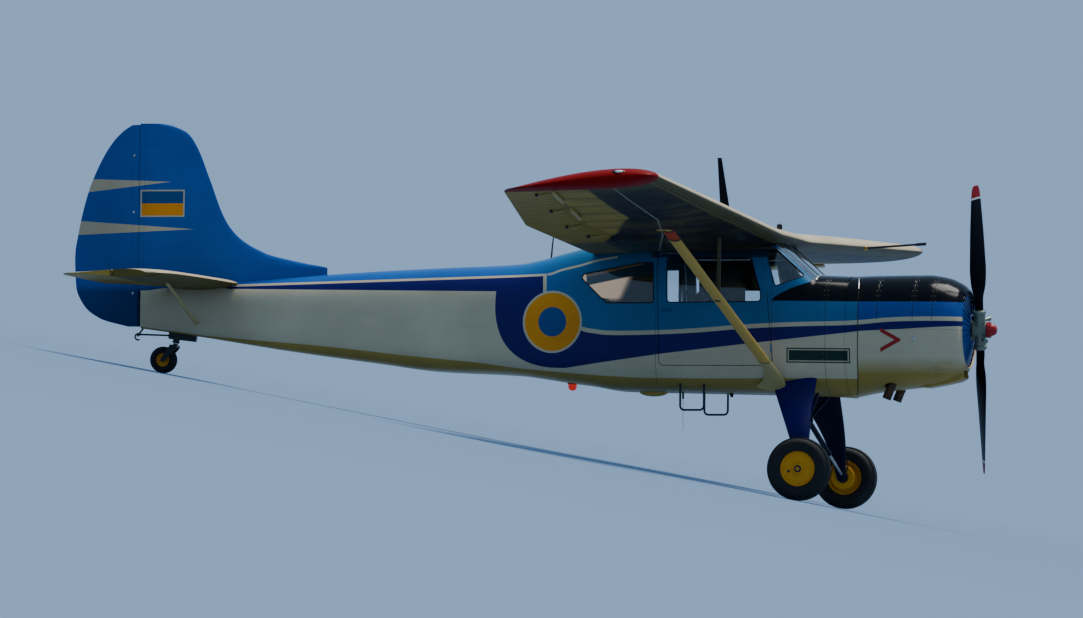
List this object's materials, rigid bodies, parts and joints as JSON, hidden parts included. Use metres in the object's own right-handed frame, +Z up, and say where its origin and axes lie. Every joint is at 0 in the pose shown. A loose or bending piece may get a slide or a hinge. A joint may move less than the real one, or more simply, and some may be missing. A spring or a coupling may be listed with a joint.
{
  "type": "high-wing light aircraft",
  "caption": "High-wing, strut-braced utility aeroplane with a radial engine, a tail wheel, hinged cabin doors and working control surfaces.",
  "frame": {"origin": "on the ground, under the middle of the outline of the parked aeroplane", "axes": "+X towards the nose, +Y towards the left wing tip, +Z up from the ground it is parked on"},
  "size_m": [9.0762, 12.6, 3.24],
  "materials": {
    "livery_paint": "satin",
    "cream_paint": "satin",
    "gear_paint": "gloss",
    "steel": "satin",
    "black_metal": "satin",
    "engine_metal": "matte",
    "hub_paint": "satin",
    "tyre_rubber": "matte",
    "glazing": "gloss",
    "seat_cover": "matte",
    "panel_black": "matte",
    "prop_hub_metal": "satin",
    "prop_black": "satin"
  },
  "bodies": {
    "airframe": {"tail_cone": "livery_paint", "cabin_side_left": "livery_paint", "cabin_side_right": "livery_paint", "cabin_floor": "cream_paint", "cabin_roof": "cream_paint", "nose_deck": "livery_paint", "firewall": "steel", "cowling_upper": "livery_paint", "cowling_lower": "livery_paint", "shutter_ring": "livery_paint", "engine": "engine_metal", "exhaust_stacks": "steel", "wing_left": "cream_paint", "wing_right": "cream_paint", "slat_left": "cream_paint", "slat_right": "cream_paint", "wing_strut_left": "cream_paint", "wing_strut_right": "cream_paint", "fin": "livery_paint", "stabilizer_left": "cream_paint", "stabilizer_right": "cream_paint", "stabilizer_strut_left": "cream_paint", "stabilizer_strut_right": "cream_paint", "gear_leg_left": "gear_paint", "gear_leg_right": "gear_paint", "gear_truss": "steel", "tail_wheel_bracket": "black_metal", "entry_step_left": "black_metal", "entry_step_right": "black_metal", "windshield": "glazing", "front_window_left": "glazing", "front_window_right": "glazing", "rear_window_left": "glazing", "rear_window_right": "glazing", "front_seats": "seat_cover", "rear_bench": "seat_cover", "instrument_panel": "panel_black", "pitot_boom": "steel"},
    "propeller": {"propeller_hub": "prop_hub_metal", "propeller_blade_a": "prop_black", "propeller_blade_b": "prop_black"},
    "left_wheel": {"wheel_left": "hub_paint", "tyre_left": "tyre_rubber"},
    "right_wheel": {"wheel_right": "hub_paint", "tyre_right": "tyre_rubber"},
    "tail_fork": {"tail_wheel_fork": "black_metal"},
    "tail_roller": {"tail_wheel": "hub_paint", "tail_tyre": "tyre_rubber"},
    "left_door": {"door_left": "livery_paint", "door_window_left": "glazing"},
    "right_door": {"door_right": "livery_paint", "door_window_right": "glazing"},
    "left_flap": {"flap_left": "cream_paint"},
    "right_flap": {"flap_right": "cream_paint"},
    "left_aileron": {"aileron_left": "cream_paint"},
    "right_aileron": {"aileron_right": "cream_paint"},
    "rudder_blade": {"rudder": "livery_paint"},
    "left_elevator": {"elevator_left": "cream_paint"},
    "right_elevator": {"elevator_right": "cream_paint"}
  },
  "joints": [
    {"name": "propeller_spin", "type": "hinge", "parent": "airframe", "child": "propeller", "pos_m": [4.26691, 0, 1.91177], "axis": [0.9819, 0, 0.1892], "continuous": true},
    {"name": "left_wheel_spin", "type": "hinge", "parent": "airframe", "child": "left_wheel", "pos_m": [3.05343, 1.1, 0.2975], "axis": [0, 1, 0], "continuous": true},
    {"name": "right_wheel_spin", "type": "hinge", "parent": "airframe", "child": "right_wheel", "pos_m": [3.05343, -1.1, 0.2975], "axis": [0, 1, 0], "continuous": true},
    {"name": "tail_wheel_swivel", "type": "hinge", "parent": "airframe", "child": "tail_fork", "pos_m": [-3.38016, 0, 0.1275], "axis": [0, 0, 1], "range_deg": [-35, 35]},
    {"name": "tail_wheel_spin", "type": "hinge", "parent": "tail_fork", "child": "tail_roller", "pos_m": [-3.46516, 0, 0.1275], "axis": [0, 1, 0], "continuous": true},
    {"name": "left_door_hinge", "type": "hinge", "parent": "airframe", "child": "left_door", "pos_m": [2.51116, 0.657, 1.20376], "axis": [0.2759, 0, -0.9612], "range_deg": [0, 65]},
    {"name": "right_door_hinge", "type": "hinge", "parent": "airframe", "child": "right_door", "pos_m": [2.51116, -0.657, 1.20376], "axis": [-0.2759, 0, 0.9612], "range_deg": [0, 65]},
    {"name": "left_flap_hinge", "type": "hinge", "parent": "airframe", "child": "left_flap", "pos_m": [1.11841, 0.7, 2.0955], "axis": [0.0074, -0.9992, -0.0386], "range_deg": [0, 40]},
    {"name": "right_flap_hinge", "type": "hinge", "parent": "airframe", "child": "right_flap", "pos_m": [1.11841, -0.7, 2.0955], "axis": [-0.0074, -0.9992, 0.0386], "range_deg": [0, 40]},
    {"name": "left_aileron_hinge", "type": "hinge", "parent": "airframe", "child": "left_aileron", "pos_m": [1.09931, 3.41, 2.20032], "axis": [0.0965, 0.9932, 0.0657], "range_deg": [-25, 25]},
    {"name": "right_aileron_hinge", "type": "hinge", "parent": "airframe", "child": "right_aileron", "pos_m": [1.09931, -3.41, 2.20032], "axis": [-0.0965, 0.9932, -0.0657], "range_deg": [-25, 25]},
    {"name": "rudder_hinge", "type": "hinge", "parent": "airframe", "child": "rudder_blade", "pos_m": [-3.96906, 0, 1.28914], "axis": [-0.1892, 0, 0.9819], "range_deg": [-25, 25]},
    {"name": "left_elevator_hinge", "type": "hinge", "parent": "airframe", "child": "left_elevator", "pos_m": [-3.60253, 0, 0.84039], "axis": [0, 1, 0], "range_deg": [-25, 25]},
    {"name": "right_elevator_hinge", "type": "hinge", "parent": "airframe", "child": "right_elevator", "pos_m": [-3.60253, 0, 0.84039], "axis": [0, 1, 0], "range_deg": [-25, 25]}
  ],
  "couplings": [
    {"joint": "right_flap_hinge", "follows": "left_flap_hinge", "ratio": 1},
    {"joint": "right_aileron_hinge", "follows": "left_aileron_hinge", "ratio": -1},
    {"joint": "right_elevator_hinge", "follows": "left_elevator_hinge", "ratio": 1}
  ]
}
